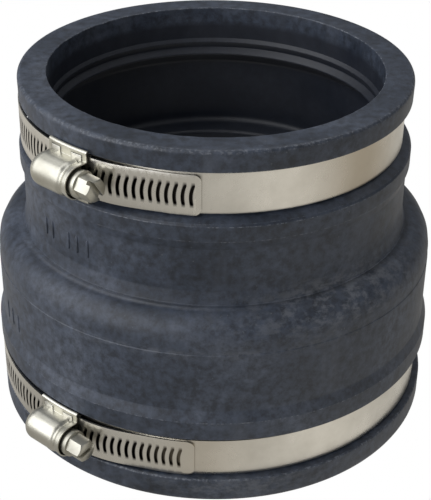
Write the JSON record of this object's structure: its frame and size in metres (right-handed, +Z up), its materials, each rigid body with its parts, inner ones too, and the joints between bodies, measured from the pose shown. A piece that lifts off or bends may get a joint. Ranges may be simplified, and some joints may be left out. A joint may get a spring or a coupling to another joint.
{
  "type": "pipe coupling",
  "caption": "Stepped flexible rubber drain coupling with two stainless worm-drive clamps, for joining plain pipe ends of two sizes.",
  "frame": {"origin": "centre of the lower mouth, in the plane of the lower end face", "axes": "+Z up along the bore axis, from the large end to the small end; -Y faces the front, with both worm housings at the front left"},
  "size_m": [0.1588, 0.1588, 0.125],
  "materials": {
    "sleeve_rubber": "matte moulded EPDM with a light bloom",
    "band_steel": "satin stainless strip, slotted",
    "housing_steel": "pressed stainless, bright on the roll",
    "saddle_steel": "pressed stainless",
    "screw_steel": "cold-formed stainless screw, bright"
  },
  "bodies": {
    "sleeve": {"rubber_sleeve": "sleeve_rubber"},
    "upper_clamp": {"upper_housing": "housing_steel", "upper_saddle": "saddle_steel"},
    "upper_strap": {"upper_band": "band_steel"},
    "upper_worm": {"upper_worm_screw": "screw_steel"},
    "lower_clamp": {"lower_housing": "housing_steel", "lower_saddle": "saddle_steel"},
    "lower_strap": {"lower_band": "band_steel"},
    "lower_worm": {"lower_worm_screw": "screw_steel"}
  },
  "joints": [
    {"name": "upper_clamp_swivel", "type": "hinge", "parent": "sleeve", "child": "upper_clamp", "pos_m": [0, 0, 0.1097], "axis": [0, 0, 1], "continuous": true},
    {"name": "upper_screw_turn", "type": "hinge", "parent": "upper_clamp", "child": "upper_worm", "pos_m": [-0.04782, -0.05349, 0.1097], "axis": [-0.7455, 0.6665, 0], "range_deg": [0, 6480]},
    {"name": "upper_strap_feed", "type": "hinge", "parent": "upper_clamp", "child": "upper_strap", "pos_m": [0, 0, 0.1097], "axis": [0, 0, 1], "range_deg": [0, 40.32]},
    {"name": "lower_clamp_swivel", "type": "hinge", "parent": "sleeve", "child": "lower_clamp", "pos_m": [0, 0, 0.0171], "axis": [0, 0, 1], "continuous": true},
    {"name": "lower_screw_turn", "type": "hinge", "parent": "lower_clamp", "child": "lower_worm", "pos_m": [-0.05398, -0.06364, 0.0171], "axis": [-0.7627, 0.6468, 0], "range_deg": [0, 6480]},
    {"name": "lower_strap_feed", "type": "hinge", "parent": "lower_clamp", "child": "lower_strap", "pos_m": [0, 0, 0.0171], "axis": [0, 0, 1], "range_deg": [0, 34.34]}
  ],
  "couplings": [
    {"joint": "upper_strap_feed", "follows": "upper_screw_turn", "ratio": 0.0062144},
    {"joint": "lower_strap_feed", "follows": "lower_screw_turn", "ratio": 0.0052917}
  ]
}
